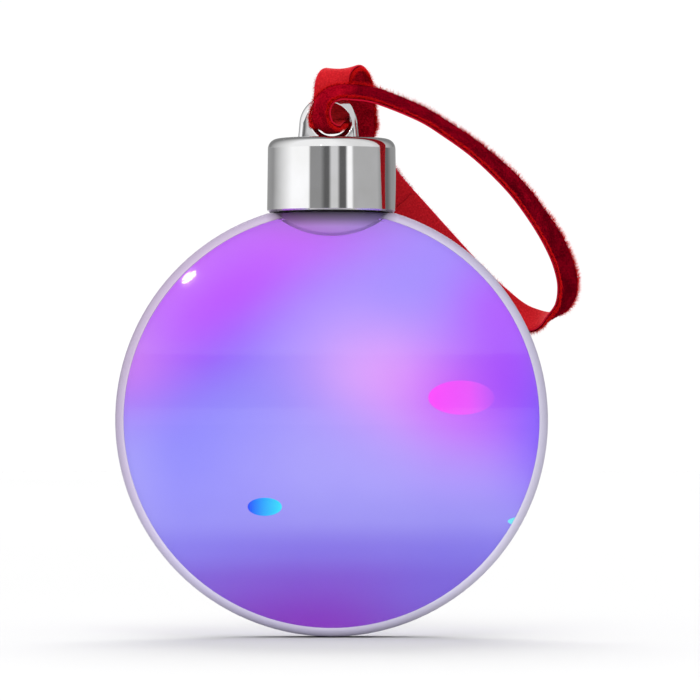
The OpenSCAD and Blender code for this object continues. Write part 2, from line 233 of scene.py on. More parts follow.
camera_data = bpy.data.cameras.new("camera")
camera_data.sensor_width = 36
camera_data.lens = camera_data.sensor_width * VIEW_DISTANCE / VIEW_WIDTH
camera = bpy.data.objects.new("camera", camera_data)
bpy.context.scene.collection.objects.link(camera)
camera.location = (AIM.x, -VIEW_DISTANCE, EYE_LEVEL)
camera.rotation_euler = (AIM - camera.location).to_track_quat("-Z", "Y").to_euler()
bpy.context.scene.camera = camera
bpy.context.scene.view_settings.view_transform = "Standard"


# ------------------------------------------------------------------ mesh helpers

def new_mesh(name, points, faces, materials, body, smooth=True):
    mesh = bpy.data.meshes.new(name)
    mesh.from_pydata([tuple(p) for p in points], [], faces)
    for material in materials:
        mesh.materials.append(material)
    made = bpy.data.objects.new(name, mesh)
    bpy.context.scene.collection.objects.link(made)
    for polygon in mesh.polygons:
        polygon.use_smooth = smooth
    mesh.update()
    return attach(made, body)


# ------------------------------------------------------------------ ribbon

RIBBON_W = 6.2 * MM
RIBBON_T = 1.0 * MM
STEPS = 12                # rings between two points of the route
PILE_SHARE = 0.93         # share of the width that carries pile; the rest is selvage
JOIN_REACH = 0.33 * MM    # how far each end runs on to meet the other
BUNCH_DEPTH = 1.5 * MM    # how far the pile bulges down where the ribbon is squeezed in the eye,
BUNCH_AT = 15.7           # the place of the bulge, in points of the route,
BUNCH_SPAN = 1.2          # and how far it spreads along the route
HAIR_COUNT = 14000
EDGE_HAIR_COUNT = 30000

# Place in metres, the way the pile faces, and the share of the full width, as in the CAD
ROUTE = [
    (0.013, 0.0142, -0.0147, 0, 1, 0, 1),
    (0.011, 0.0142, -0.0124, 0, 1, 0, 1),
    (0.0092, 0.0144, -0.0098, 0.4, 1, 0, 1),
    (0.0076, 0.0144, -0.0072, 1, 0.5, 0.2, 1),
    (0.0063, 0.0136, -0.0044, 0.9, -0.5, 0.1, 1),
    (0.0055, 0.012, -0.0014, 0.3, -1, -0.2, 1),
    (0.0052, 0.0104, 0.0014, 0.1, -1, -0.4, 1),
    (0.005, 0.009, 0.0042, 0, -1, -0.3, 1),
    (0.0045, 0.008, 0.0068, 0, -1, -0.4, 1),
    (0.0032, 0.0062, 0.0088, 0.1, -0.5, -0.9, 1),
    (0.0014, 0.0042, 0.009, 0.2, 0.4, -0.9, 1),
    (0.0002, 0.0032, 0.0072, 0.1, 0.9, -0.4, 1),
    (-0.0002, 0.003, 0.0046, 0.1, 1, 0, 1),
    (0, 0.0032, 0.0022, 0.25, 1, -0.1, 1),
    (0.0005, 0.0026, 0.0002, 0.3, 0.7, -0.7, 0.94),
    (0.0002, 0.0006, -0.0008, 0.1, 0.1, -1, 0.82),
    (-0.0001, -0.0019, -0.001, 0, 0, -1, 0.8),
    (-0.001, -0.0039, -0.0014, -0.3, -0.2, -0.9, 0.95),
    (-0.0018, -0.0049, -0.0006, -0.8, -0.5, -0.4, 1),
    (-0.0019, -0.0053, 0.0012, -0.88, -0.48, 0.1, 1),
    (-0.0013, -0.0052, 0.0031, -0.6, -0.48, 0.65, 1),
    (0.0009, -0.0051, 0.0045, -0.2, -0.45, 0.9, 1),
    (0.0044, -0.0048, 0.0046, 0.05, -0.45, 0.9, 1),
    (0.0086, -0.0044, 0.0039, 0.22, -0.45, 0.88, 1),
    (0.0164, -0.0036, 0.0008, 0.43, -0.43, 0.8, 1),
    (0.0214, -0.0028, -0.0022, 0.48, -0.43, 0.76, 1),
    (0.0261, -0.0019, -0.0054, 0.53, -0.46, 0.71, 1),
    (0.0302, -0.0008, -0.0088, 0.58, -0.5, 0.64, 1),
    (0.0344, 0.0006, -0.0129, 0.64, -0.54, 0.54, 1),
    (0.038, 0.0022, -0.0175, 0.67, -0.57, 0.48, 1),
    (0.041, 0.004, -0.022, 0.69, -0.62, 0.38, 1),
    (0.043, 0.006, -0.0261, 0.72, -0.64, 0.27, 1),
    (0.0441, 0.0084, -0.0302, 0.75, -0.66, 0.08, 1),
    (0.0437, 0.011, -0.0339, 0.75, -0.4, -0.5, 1),
    (0.0414, 0.0132, -0.0365, 0.3, 0.1, -0.95, 1),
    (0.0382, 0.0144, -0.0373, 0, 0.65, -0.75, 1),
    (0.0346, 0.0146, -0.0362, -0.15, 0.85, -0.5, 1),
    (0.0306, 0.0144, -0.0334, -0.1, 0.98, -0.15, 1),
    (0.0256, 0.0142, -0.0286, 0, 1, 0, 1),
    (0.0135, 0.0142, -0.0152, 0, 1, 0, 1),
]


def route_at(u):
    """The row of the route at place u, counted in points from the start: a Catmull-Rom curve."""
    last = len(ROUTE) - 1
    i = min(int(u), last - 1)
    t = u - i
    b, c = ROUTE[i], ROUTE[i + 1]
    a = ROUTE[i - 1] if i > 0 else [2 * p - q for p, q in zip(b, c)]
    d = ROUTE[i + 2] if i < last - 1 else [2 * q - p for p, q in zip(b, c)]
    return [
        0.5 * (2 * q + (r - p) * t + (2 * p - 5 * q + 4 * r - s) * t * t
               + (3 * q - 3 * r + s - p) * t ** 3)
        for p, q, r, s in zip(a, b, c, d)
    ]


def ribbon_frame(u):
    """Middle, heading, direction across, direction of the pile and half width at place u."""
    row = route_at(u)
    middle = Vector(row[:3])
    last = len(ROUTE) - 1
    step = 0.02
    heading = Vector(route_at(min(u + step, last))[:3]) - Vector(route_at(max(u - step, 0))[:3])
    heading.normalize()
    pile = Vector(row[3:6])
    face = (pile - pile.dot(heading) * heading).normalized()
    return middle, heading, face.cross(heading), face, RIBBON_W * row[6] / 2


def velvet():
    graph = Graph("velvet_pile")
    place = graph.place()
    tufts = graph.noise(place, 3800, 2.0)
    nap = graph.noise(place, 420, 3.0)
    both = graph.math("ADD", graph.math("MULTIPLY", tufts, 0.65), graph.math("MULTIPLY", nap, 0.35))
    # Painted light: the pile is coloured lighter at the curl by the eye and on the strand behind it,
    # where the ribbon shades itself.
    xyz = graph.split(place)
    at_curl = graph.spread(xyz["X"], 5 * MM, 1 * MM)
    behind = graph.math("MULTIPLY", graph.spread(xyz["Y"], 0, 3 * MM),
                        graph.spread(xyz["X"], 18 * MM, 10 * MM))
    painted_light_mask = graph.math("MAXIMUM", at_curl, behind)
    pile_colour = graph.ramp(both, [
        (0.36, tint(54, 0, 8)), (0.5, tint(86, 0, 13)), (0.64, tint(130, 2, 22))
    ])
    painted_lit_pile = graph.ramp(both, [
        (0.36, tint(96, 0, 14)), (0.5, tint(134, 3, 21)), (0.64, tint(176, 14, 34))
    ])
    graph.colour(graph.mix(painted_light_mask, pile_colour, painted_lit_pile))
    graph.put(Roughness=1.0, Specular_IOR_Level=0.0, Sheen_Weight=0.25, Sheen_Roughness=0.3,
              Sheen_Tint=tint(255, 16, 40))
    graph.bump(both, 0.25 * MM, 0.8)
    return graph.material


def satin():
    graph = Graph("satin_back")
    along = graph.node("ShaderNodeUVMap").outputs["UV"]
    weave = graph.noise(graph.mapped(along, scale=(1, RIBBON_W / 2, 1)), 2600, 3.0, 0.7)
    graph.colour(graph.ramp(weave, [
        (0.3, tint(160, 12, 21)), (0.5, tint(182, 20, 30)), (0.7, tint(204, 34, 40))
    ]))
    graph.put(Roughness=0.8, Specular_IOR_Level=0.05)
    graph.bump(weave, 0.05 * MM, 0.6)
    return graph.material


PILE = velvet()
SATIN = satin()
SELVAGE = mottled("selvage", tint(176, 0, 32), tint(212, 8, 50), 5200, (0.7, 0.9), 0.03 * MM,
                  Specular_IOR_Level=0.1)
HAIR = mottled("pile_hair", tint(192, 6, 16), tint(234, 34, 34), 5200, (0.9, 1.0), 0.01 * MM,
               Specular_IOR_Level=0.0)


def ribbon_section():
    """Places across (-1 to 1) and out of the middle (-1 to 1) round the ribbon, with the material
    of the strip from each place to the next."""
    selvage_h = -0.3          # height of the selvage, and of the smooth side
    back_h = -0.92
    columns = 14
    ring = [(-1.0, -0.75, 2), (-1.0, selvage_h, 2), (-0.95, selvage_h + 0.1, 0)]
    for k in range(columns + 1):
        v = -PILE_SHARE + 2 * PILE_SHARE * k / columns
        ring.append((v, 0.62 + 0.38 * math.sqrt(max(0.0, 1 - (v / PILE_SHARE) ** 2)), 0))
    ring += [(0.95, selvage_h + 0.1, 2), (1.0, selvage_h, 2), (1.0, -0.75, 2)]
    back = 8
    for k in range(back + 1):
        v = 0.94 - 2 * 0.94 * k / back
        ring.append((v, back_h, 1))
    return ring


def make_ribbon():
    dice = random.Random(7)
    section = ribbon_section()
    count = (len(ROUTE) - 1) * STEPS + 1
    points, faces, slots, uvs, path = [], [], [], [], []
    travelled, before = 0.0, None
    for i in range(count):
        middle, heading, across, face, half_w = ribbon_frame(i / STEPS)
        if before is not None:
            travelled += (middle - before).length
        before = middle
        path.append(middle)
        if i in (0, count - 1):
            middle = middle + heading * (JOIN_REACH if i else -JOIN_REACH)
        bunch = BUNCH_DEPTH * math.exp(-((i / STEPS - BUNCH_AT) / BUNCH_SPAN) ** 2)
        for v, h, _ in section:
            soft = 0.0
            if h > 0.5:
                soft = dice.uniform(-0.05, 0.05) * MM + bunch * (1 - v ** 4)
            points.append(middle + across * half_w * v + face * (RIBBON_T / 2 * h + soft))
            uvs.append((travelled, v))
    wide = len(section)
    for i in range(count - 1):
        for k in range(wide):
            after = (k + 1) % wide
            faces.append((i * wide + k, (i + 1) * wide + k, (i + 1) * wide + after, i * wide + after))
            slots.append(section[k][2])
    for first in (0, (count - 1) * wide):
        loop = [first + k for k in range(wide)]
        faces.append(loop if first == 0 else loop[::-1])
        slots.append(1)

    # Single hairs of the pile: short, thin, pointed slivers
    last = len(ROUTE) - 1.001
    for n in range(HAIR_COUNT + EDGE_HAIR_COUNT):
        u = dice.uniform(0, last)
        middle, heading, across, face, half_w = ribbon_frame(u)
        if n < HAIR_COUNT:
            v = dice.uniform(-1, 1) * PILE_SHARE
            out = face + across * dice.uniform(-0.5, 0.5) + heading * dice.uniform(-0.5, 0.5)
            length = dice.uniform(0.25, 0.5) * MM
        else:
            side = dice.choice((-1, 1))
            v = side * PILE_SHARE * dice.uniform(0.9, 1.0)
            out = across * side * dice.uniform(0.7, 1.4) + face * dice.uniform(0.0, 1.2)
            out += heading * dice.uniform(-0.7, 0.7)
            length = dice.uniform(0.4, 1.25) * MM
        root = middle + across * half_w * v + face * RIBBON_T * dice.uniform(0.1, 0.36)
        out.normalize()
        aside = out.cross(heading + across * dice.uniform(-0.8, 0.8)).normalized()
        aside *= (0.035 if n < HAIR_COUNT else 0.055) * MM
        at = len(points)
        points += [root - aside, root + aside, root + out * length]
        uvs += [(0, v)] * 3
        faces.append((at, at + 1, at + 2))
        slots.append(0 if n < HAIR_COUNT else 3)

    made = new_mesh("velvet_ribbon", points, faces, [PILE, SATIN, SELVAGE, HAIR], "cap")
    mesh = made.data
    layer = mesh.uv_layers.new(name="UVMap")
    for polygon, slot in zip(mesh.polygons, slots):
        polygon.material_index = slot
        for index in polygon.loop_indices:
            layer.data[index].uv = uvs[mesh.loops[index].vertex_index]
    return made, path


ribbon, ribbon_path = make_ribbon()
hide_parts("ribbon", "ribbon_join")


# Tab sewn behind the two ends, with its stitches
def make_join():
    length, thickness, rows, per_row = 5 * MM, 0.8 * MM, 2, 6
    first = Vector(route_at(0)[:3])
    final = Vector(route_at(len(ROUTE) - 1)[:3])
    middle = (first + final) / 2
    _, heading, across, face, _ = ribbon_frame(0)
    bm = bmesh.new()
    bmesh.ops.create_cube(bm, size=1)
    bmesh.ops.scale(bm, vec=(RIBBON_W, thickness, length), verts=bm.verts)
    bmesh.ops.bevel(bm, geom=bm.edges[:], offset=0.25 * MM, segments=3, affect="EDGES")
    bmesh.ops.subdivide_edges(bm, edges=bm.edges[:], cuts=2, use_grid_fill=True)
    basis = Matrix((across, face, heading)).transposed().to_4x4()
    basis.translation = middle + face * (RIBBON_T / 2 + 0.05 * MM + thickness / 2)
    mesh = bpy.data.meshes.new("ribbon_tab")
    bm.to_mesh(mesh)
    bm.free()
    mesh.materials.append(SATIN)
    mesh.uv_layers.new(name="UVMap")
    for polygon in mesh.polygons:
        polygon.use_smooth = True
        for index in polygon.loop_indices:
            co = mesh.vertices[mesh.loops[index].vertex_index].co
            mesh.uv_layers[0].data[index].uv = (co.z, co.x / RIBBON_W)
    mesh.transform(basis)
    tab = bpy.data.objects.new("ribbon_tab", mesh)
    bpy.context.scene.collection.objects.link(tab)
    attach(tab, "cap")

    thread = mottled("thread", tint(120, 6, 18), tint(196, 40, 52), 5200, (0.6, 0.85), 0.02 * MM,
                     Sheen_Weight=0.3)
    curve = bpy.data.curves.new("ribbon_stitches", "CURVE")
    curve.dimensions = "3D"
    curve.bevel_depth = 0.13 * MM
    curve.bevel_resolution = 3
    curve.materials.append(thread)
    for row in range(rows):
        z = (row - 0.5) * length * 0.55
        for n in range(per_row):
            x = ((n + 0.5) / per_row - 0.5) * RIBBON_W * 0.86
            spline = curve.splines.new("BEZIER")
            spline.bezier_points.add(2)
            for point, (dx, dy) in zip(
                spline.bezier_points, ((-0.34 * MM, -0.1 * MM), (0, 0.14 * MM), (0.34 * MM, -0.1 * MM))
            ):
                point.co = basis @ Vector((x + dx, thickness / 2 + dy, z))
                point.handle_left_type = point.handle_right_type = "AUTO"
    stitches = bpy.data.objects.new("ribbon_stitches", curve)
    bpy.context.scene.collection.objects.link(stitches)
    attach(stitches, "cap")
    return tab, stitches


tab, stitches = make_join()


# ------------------------------------------------------------------ print

# Soft patches of colour, each with its centre from the disc's middle (across, up), its two half
# sizes, its tilt in degrees, its strength and its colour. Sizes are in millimetres.
PATCHES = [
    ((-2, -44), (30, 15), 0, 1.0, tint(138, 38, 190)),
    ((20, -31), (14, 9), 20, 0.5, tint(122, 110, 226)),
    ((-28, -4), (16, 14), 0, 0.85, tint(138, 134, 254)),
    ((-38, -10), (7, 16), 0, 0.5, tint(178, 172, 252)),
    ((-21, 14), (14, 7), 35, 0.8, tint(140, 108, 253)),
    ((-17, 25), (28, 8.5), 36, 0.95, tint(184, 70, 254)),
    ((-29, 30), (24, 9), 45, 0.85, tint(208, 100, 253)),
    ((-40, 12), (8, 10), 60, 0.8, tint(214, 136, 246)),
    ((17, 29), (20, 13), -20, 0.85, tint(158, 148, 253)),
    ((32, 20), (10, 11), 30, 0.8, tint(182, 84, 254)),
    ((10, 8), (15, 10), -20, 0.95, tint(226, 168, 253)),
    ((24, 3), (13, 11), -10, 0.85, tint(212, 96, 253)),
    ((33, 7), (9, 15), 15, 0.8, tint(168, 74, 254)),
    ((40, -2), (7, 12), 0, 0.8, tint(124, 84, 254)),
    ((4, -7), (24, 8), 0, 0.3, tint(188, 172, 254)),
    ((-7, 35), (20, 8), 0, 0.75, tint(202, 96, 252)),
    # Painted shade that the cap throws on the top of the print
    ((0, 40), (16, 5), 0, 0.7, tint(150, 118, 186)),
]
# Height from the disc's middle in millimetres, and the colour there under the patches
GROUND = [
    (-40, tint(122, 92, 204)), (-30, tint(130, 106, 226)), (-24, tint(138, 128, 240)),
    (-18, tint(158, 152, 248)), (-10, tint(164, 158, 252)), (12, tint(158, 142, 254)),
    (26, tint(164, 140, 254)), (40, tint(168, 150, 250)),
]
# Ellipses: centre, half sizes, in millimetres from the disc's middle
PINK_SPOT = ((23.9, 4.1), (6.1, 3.15))
BLUE_SPOT = ((-12.3, -16.0), (3.15, 1.68))
CYAN_SPOT = ((37.0, -18.7), (4.5, 1.0))
GLOW = 0.84               # share of the print's colour that comes from the light behind it
BODY = 0.2                # share that comes from light falling on it


def printed(name, side):
    """side is 1 at the front and -1 at the back, where the pattern reads the same way round."""
    graph = Graph(name)
    place = graph.mapped(
        graph.place(), location=(0, 0, -DISC_Z / MM), scale=(side / MM, 1 / MM, 1 / MM)
    )
    xyz = graph.split(place)
    lowest, highest = GROUND[0][0], GROUND[-1][0]
    height = graph.spread(xyz["Z"], lowest, highest)
    colour = graph.ramp(height, [
        ((z - lowest) / (highest - lowest), shade) for z, shade in GROUND
    ], "EASE")

    def around(centre, half_sizes, tilt=0.0):
        """Squared distance from the centre, in units of the half sizes."""
        local = graph.mapped(
            place, location=(centre[0], 0, centre[1]), rotation=(0, -math.radians(tilt), 0),
            scale=(half_sizes[0], 1e6, half_sizes[1]), kind="TEXTURE",
        )
        dot = graph.node("ShaderNodeVectorMath", operation="DOT_PRODUCT")
        graph.link(local, dot.inputs[0])
        graph.link(local, dot.inputs[1])
        return dot.outputs["Value"]

    for centre, half_sizes, tilt, strength, shade in PATCHES:
        fall = graph.math("EXPONENT", graph.math("MULTIPLY", around(centre, half_sizes, tilt), -1.0))
        colour = graph.mix(graph.math("MULTIPLY", fall, strength), colour, shade)

    for spot, near, far in (
        (PINK_SPOT, tint(255, 75, 255), tint(226, 100, 255)),
        (BLUE_SPOT, tint(0, 60, 255), tint(50, 230, 255)),
        (CYAN_SPOT, tint(120, 240, 255), tint(120, 240, 255)),
    ):
        centre, half_sizes = spot
        inside = graph.spread(around(centre, half_sizes), 1.04, 0.96)
        x_lo, x_hi = centre[0] - half_sizes[0], centre[0] + half_sizes[0]
        shade = graph.mix(graph.spread(xyz["X"], x_lo, x_hi), near, far)
        if spot is PINK_SPOT:
            inside = graph.math("MULTIPLY", inside, graph.spread(xyz["X"], 25.5, x_hi, 1.0, 0.25))
        colour = graph.mix(inside, colour, shade)

    graph.colour(graph.mix(1 - BODY, colour, grey(0)))
    # Painted glow: the print emits its colour as light itself, and no lamp lights it from behind
    graph.link(colour, graph.shader.inputs["Emission Color"])
    grain = graph.noise(place, 9, 2.0)
    graph.link(graph.spread(grain, 0.3, 0.7, 0.55, 0.68), graph.shader.inputs["Roughness"])
    graph.put(Emission_Strength=GLOW, Specular_IOR_Level=0.0)
    return graph.material


# ------------------------------------------------------------------ materials of the CAD pieces

def pearl():
    """Pearly rim, with painted light and shade: paler towards the window and darker at the outside,
    darker towards the top, pinker towards the upper left, with painted shade from the cap on the bowl
    under it and a thin line where the two shells meet."""
    graph = Graph("pearl_rim")
    place = graph.place()
    xyz = graph.split(graph.mapped(place, location=(0, 0, -DISC_Z)))
    flat = graph.math("SQRT", graph.math(
        "ADD", graph.math("MULTIPLY", xyz["X"], xyz["X"]), graph.math("MULTIPLY", xyz["Z"], xyz["Z"])
    ))
    ring = graph.spread(flat, WINDOW_R, DISC_R)
    # Painted shade and highlight of the rounded rim: pale next to the window, darker at the outside
    painted_rim_shade = graph.ramp(ring, [
        (0.0, tint(226, 222, 240)), (0.35, tint(208, 203, 226)), (0.8, tint(190, 185, 208)),
        (1.0, tint(176, 171, 194)),
    ])
    # Painted light by side: pinker towards the upper left, plain grey at the lower right
    side = graph.spread(graph.math("SUBTRACT", xyz["X"], xyz["Z"]), -DISC_R * 1.4, DISC_R * 1.4)
    painted_side_tint = graph.ramp(side, [
        (0.0, tint(248, 216, 236)), (0.5, tint(236, 232, 246)), (1.0, grey(240))
    ])
    cloud = graph.noise(place, 90, 3.0)
    # Painted shade by height: darker towards the top
    height = graph.spread(xyz["Z"], -DISC_R, DISC_R)
    fall = graph.ramp(height, [
        (0.0, grey(247)), (0.15, grey(255)), (0.5, grey(228)), (0.85, grey(222))
    ])
    shaded = graph.multiply(1.0, graph.multiply(0.55, painted_rim_shade, painted_side_tint), fall)
    # Painted shade that the cap throws on the bowl under it
    bowl_foot = BOWL_Z - BOWL_R
    bowl = graph.ramp(graph.spread(xyz["Z"], bowl_foot, LAND_Z), [
        (0.0, tint(215, 150, 255)), (0.5, tint(200, 160, 230)), (0.75, tint(130, 110, 145)),
        (1.0, tint(30, 25, 35)),
    ])
    from_left = graph.spread(xyz["X"], -9 * MM, 9 * MM)
    bowl = graph.multiply(
        1.0, bowl, graph.mix(from_left, tint(255, 235, 250), tint(240, 255, 255))
    )
    beside = graph.spread(graph.math("ABSOLUTE", xyz["X"]), 12.2 * MM, 9.5 * MM)
    above = graph.spread(xyz["Z"], bowl_foot, bowl_foot + 0.5 * MM)
    below = graph.spread(xyz["Z"], LAND_Z + 0.1 * MM, LAND_Z + 0.05 * MM)
    painted_cap_shade_mask = graph.math("MULTIPLY", graph.math("MULTIPLY", beside, above), below)
    joined = graph.mix(painted_cap_shade_mask, shaded, bowl)
    off_seam = graph.math("ABSOLUTE", graph.split(place)["Y"])
    seam = graph.spread(off_seam, 0.14 * MM, 0.06 * MM, 0.0, 0.5)
    graph.colour(graph.mix(seam, joined, tint(120, 112, 136)))
    graph.link(graph.spread(cloud, 0.3, 0.7, 0.34, 0.46), graph.shader.inputs["Roughness"])
    graph.put(Specular_IOR_Level=0.4)
    graph.bump(graph.noise(place, 2400, 2.0), 0.006 * MM, 0.5)
    return graph.material


def clear():
    """Clear window, with a thin coat that mirrors the small lamp."""
    graph = Graph("clear_window")
    place = graph.place()
    haze = graph.noise(place, 60, 2.0)
    graph.colour(graph.ramp(haze, [(0.3, tint(252, 251, 255)), (0.7, tint(255, 255, 255))]))
    graph.put(Transmission_Weight=1.0, IOR=1.18, Roughness=0.0, Coat_Weight=1.0, Coat_IOR=1.2,
              Coat_Roughness=0.06)
    return graph.material


def chrome():
    graph = Graph("cap_chrome")
    place = graph.place()
    ripple = graph.noise(place, 160, 2.0)
    graph.colour(graph.ramp(ripple, [(0.3, grey(210)), (0.7, tint(218, 218, 220))]))
    graph.link(graph.spread(ripple, 0.3, 0.7, 0.03, 0.06), graph.shader.inputs["Roughness"])
    graph.put(Metallic=1.0)
    graph.bump(ripple, 0.01 * MM, 0.3)
    return graph.material


CHROME = chrome()
PEARL = pearl()
CLEAR = clear()
OPAL = mottled("opal_film", tint(236, 234, 242), tint(246, 245, 250), 700, (0.5, 0.7), 0.01 * MM)
WHITE = mottled("white_plastic", tint(222, 222, 218), tint(236, 236, 232), 2600, (0.45, 0.6),
                0.015 * MM)
RUBBER = mottled("black_rubber", tint(34, 34, 35), tint(56, 56, 58), 2200, (0.7, 0.9), 0.02 * MM)
STEEL = mottled("cell_steel", tint(176, 177, 180), tint(208, 209, 211), 900, (0.22, 0.4), 0.004 * MM,
                stretch=(1, 12, 1), Metallic=1.0)
BRASS = mottled("contact_brass", tint(196, 182, 138), tint(226, 214, 178), 1100, (0.25, 0.42),
                0.004 * MM, stretch=(1, 8, 1), Metallic=1.0)
TIN = mottled("tinned_wire", tint(190, 190, 188), tint(222, 222, 221), 3000, (0.25, 0.45), 0.01 * MM,
              Metallic=1.0)
CERAMIC = mottled("resistor_black", tint(38, 38, 41), tint(62, 62, 66), 3500, (0.4, 0.6), 0.01 * MM)
KNOB = mottled("knob_black", tint(40, 40, 43), tint(66, 66, 70), 3000, (0.45, 0.65), 0.02 * MM)
SCREW = mottled("screw_steel", tint(170, 172, 176), tint(212, 213, 216), 2500, (0.2, 0.4), 0.01 * MM,
                Metallic=1.0)
FIBRE = mottled("board_green", tint(16, 84, 46), tint(34, 118, 66), 1800, (0.3, 0.45), 0.01 * MM)
EPOXY = mottled("led_epoxy", tint(236, 242, 255), tint(250, 252, 255), 500, (0.02, 0.08), 0.002 * MM,
                Transmission_Weight=0.85, IOR=1.53)

CAD_LOOKS = {
    "front_shell": (PEARL, "pearl_rim"), "rear_shell": (PEARL, "pearl_rim"),
    "front_diffuser": (OPAL, "opal_film"), "rear_diffuser": (OPAL, "opal_film"),
    "reflector_ring": (WHITE, "white_plastic"), "neck_ring": (RUBBER, "black_rubber"),
    "battery_tray": (WHITE, "white_plastic"), "coin_cell": (STEEL, "cell_steel"),
    "positive_contact": (BRASS, "contact_brass"), "negative_contact": (BRASS, "contact_brass"),
    "circuit_board": (FIBRE, "board_green"), "led_bulb": (EPOXY, "led_epoxy"),
    "led_leads": (TIN, "tinned_wire"), "resistor": (CERAMIC, "resistor_black"),
    "switch_body": (STEEL, "cell_steel"), "switch_pins": (TIN, "tinned_wire"),
    "switch_knob": (KNOB, "knob_black"), "base_cover": (WHITE, "white_plastic"),
    "cover_screws": (SCREW, "screw_steel"), "cap_shell": (CHROME, "cap_chrome"),
}
for name, (look, slot) in CAD_LOOKS.items():
    piece = frame["nodes"][name]
    piece.data.materials.clear()
    piece.data.materials.append(look)
    for polygon in piece.data.polygons:
        polygon.material_index = 0


# ------------------------------------------------------------------ windows, films and eye

def domed_sheet(name, side, outer_r, thickness, edge_r, gap, look, flange=None):
    """A domed sheet behind the front (1) or back (-1) rim, cut out round the shoulder's bowl, which
    it clears by gap. A negative gap lets it run into the bowl's wall. flange is its outer radius and
    its two heights over the mid plane."""
    spokes, rings, cut_steps = 288, 40, 5
    step_in = 0.3 * MM
    middle_h = -LENS_FRONT - DOME_R

    def height(radius, r):
        return middle_h + math.sqrt(radius * radius - r * r)

    def free(radius, turn, r):
        x, z, h = r * math.cos(turn), r * math.sin(turn), height(radius, r)
        inside = x * x + h * h + (z - BOWL_Z) ** 2 < (BOWL_R + gap) ** 2
        return not inside and z < LAND_Z - 1 * MM

    def reach(radius, turn):
        if free(radius, turn, edge_r):
            return edge_r
        low, high = edge_r / 2, edge_r
        for _ in range(30):
            middle = (low + high) / 2
            low, high = (middle, high) if free(radius, turn, middle) else (low, middle)
        return low

    inner_r = outer_r - thickness
    points, faces = [], []
    for k in range(spokes):
        turn = math.tau * k / spokes
        top, bottom = reach(outer_r, turn), reach(inner_r, turn)
        profile = [(top * n / rings, height(outer_r, top * n / rings)) for n in range(rings + 1)]
        if flange:
            wide, lo, hi = flange
            if top == edge_r and bottom == edge_r:
                bottom = edge_r - step_in
                profile += [(edge_r, hi), (wide, hi), (wide, lo), (bottom, lo)]
            else:
                start, end = height(outer_r, top), height(inner_r, bottom)
                profile += [
                    (top + (bottom - top) * n / cut_steps, start + (end - start) * n / cut_steps)
                    for n in range(1, cut_steps)
                ]
        profile += [
            (bottom * n / rings, height(inner_r, bottom * n / rings)) for n in range(rings, -1, -1)
        ]
        across = len(profile)
        for r, h in profile:
            points.append((r * math.cos(turn), -side * h, DISC_Z + r * math.sin(turn)))
    for k in range(spokes):
        after = (k + 1) % spokes
        for n in range(across - 1):
            quad = (k * across + n, k * across + n + 1, after * across + n + 1, after * across + n)
            faces.append(quad if side > 0 else quad[::-1])
    made = new_mesh(name, points, faces, [look], "disc")
    bm = bmesh.new()
    bm.from_mesh(made.data)
    bmesh.ops.remove_doubles(bm, verts=bm.verts, dist=0.002 * MM)
    bmesh.ops.recalc_face_normals(bm, faces=bm.faces)
    bm.to_mesh(made.data)
    bm.free()
    made.data.set_sharp_from_angle(angle=math.radians(35))
    return made


FRONT_INK = printed("front_print_ink", 1)
REAR_INK = printed("rear_print_ink", -1)
SHEET_GAP = 0.1 * MM      # between a window and its film
BOWL_GAP = -0.03 * MM     # just inside the bowl's wall, so that no slit shows
for side, word, ink in ((1, "front", FRONT_INK), (-1, "rear", REAR_INK)):
    window = domed_sheet(word + "_window", side, DOME_R, LENS_T, WINDOW_R, BOWL_GAP, CLEAR,
                         (FLANGE_R, FLANGE_LO, FLANGE_HI))
    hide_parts(word + "_lens")
    film = domed_sheet(word + "_film", side, DOME_R - LENS_T - SHEET_GAP, FILM_T,
                       FLANGE_R - SHEET_GAP, BOWL_GAP, ink)
    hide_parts(word + "_print")


